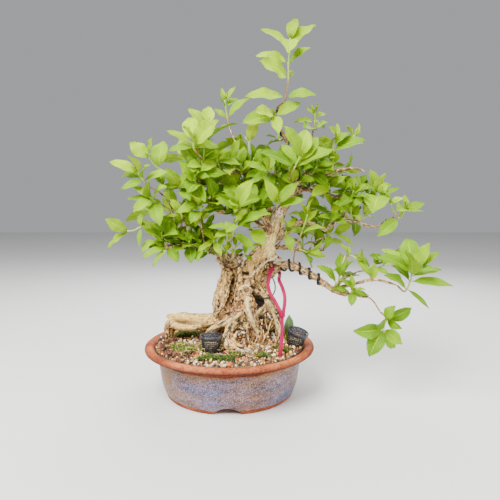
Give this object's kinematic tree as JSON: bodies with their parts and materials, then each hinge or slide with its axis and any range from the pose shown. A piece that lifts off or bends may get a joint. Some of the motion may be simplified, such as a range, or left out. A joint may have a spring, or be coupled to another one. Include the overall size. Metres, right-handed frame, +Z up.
{
  "type": "hydrangea bonsai",
  "caption": "Broad-leaved hydrangea trained as an informal upright bonsai with exposed roots, in a round unglazed-rim pot with soil, training wires and fertiliser baskets.",
  "frame": {"origin": "middle of the box at its base, on the plane that the pot's foot ring stands on", "axes": "+Z up the plant, the front that faces the viewer is -Y, the long low branch reaches to +X"},
  "size_m": [0.3984, 0.2234, 0.4543],
  "materials": {
    "terracotta": "unglazed fired clay rim, mottled blue-grey and brown speckled glaze on the body",
    "soil": "loose pumice, baked clay and lava grit with patches of moss",
    "bark": "rough tan bark and pale weathered deadwood",
    "leaf": "satin living leaf, bright yellow-green above and paler below",
    "anodised_wire": "black anodised",
    "black_plastic": "moulded, slightly dusty",
    "tie_nylon": "moulded nylon",
    "fertiliser": "dry pressed cake",
    "moss": "short matt cushions"
  },
  "bodies": {
    "root": {"basket_lid_front": "black_plastic", "basket_lid_right": "black_plastic", "cable_tie": "tie_nylon", "drain_net": "black_plastic", "fertiliser_basket_front": "black_plastic", "fertiliser_basket_right": "black_plastic", "fertiliser_cake_front": "fertiliser", "fertiliser_cake_right": "fertiliser", "guy_wire": "anodised_wire", "pot": "terracotta", "soil": "soil", "spray_apex": "leaf", "spray_back_left_high": "leaf", "spray_back_left_low": "leaf", "spray_back_middle": "leaf", "spray_back_middle_low": "leaf", "spray_back_right": "leaf", "spray_back_right_low": "leaf", "spray_base_leaf": "leaf", "spray_crown_left": "leaf", "spray_crown_right": "leaf", "spray_front_crown": "leaf", "spray_front_dark": "leaf", "spray_front_left": "leaf", "spray_front_low": "leaf", "spray_front_right": "leaf", "spray_inner_fork": "leaf", "spray_inner_left_front": "leaf", "spray_inner_left_high": "leaf", "spray_inner_left_low": "leaf", "spray_inner_left_mid": "leaf", "spray_inner_left_top": "leaf", "spray_inner_mid": "leaf", "spray_inner_top": "leaf", "spray_inner_trunk": "leaf", "spray_leader_low": "leaf", "spray_leader_mid": "leaf", "spray_left_far": "leaf", "spray_left_heart": "leaf", "spray_left_low": "leaf", "spray_left_mid": "leaf", "spray_left_tip": "leaf", "spray_left_top": "leaf", "spray_right_crest": "leaf", "spray_right_end": "leaf", "spray_right_front": "leaf", "spray_right_low_big": "leaf", "spray_right_low_hang": "leaf", "spray_right_low_small": "leaf", "spray_right_low_tip": "leaf", "spray_right_low_top": "leaf", "spray_right_mid": "leaf", "spray_right_top": "leaf", "spray_right_upright": "leaf", "wire_leader": "anodised_wire", "wire_left_high": "anodised_wire", "wire_left_low": "anodised_wire", "wire_right_low": "anodised_wire", "wire_right_top": "anodised_wire", "wood": "bark"}
  },
  "joints": []
}
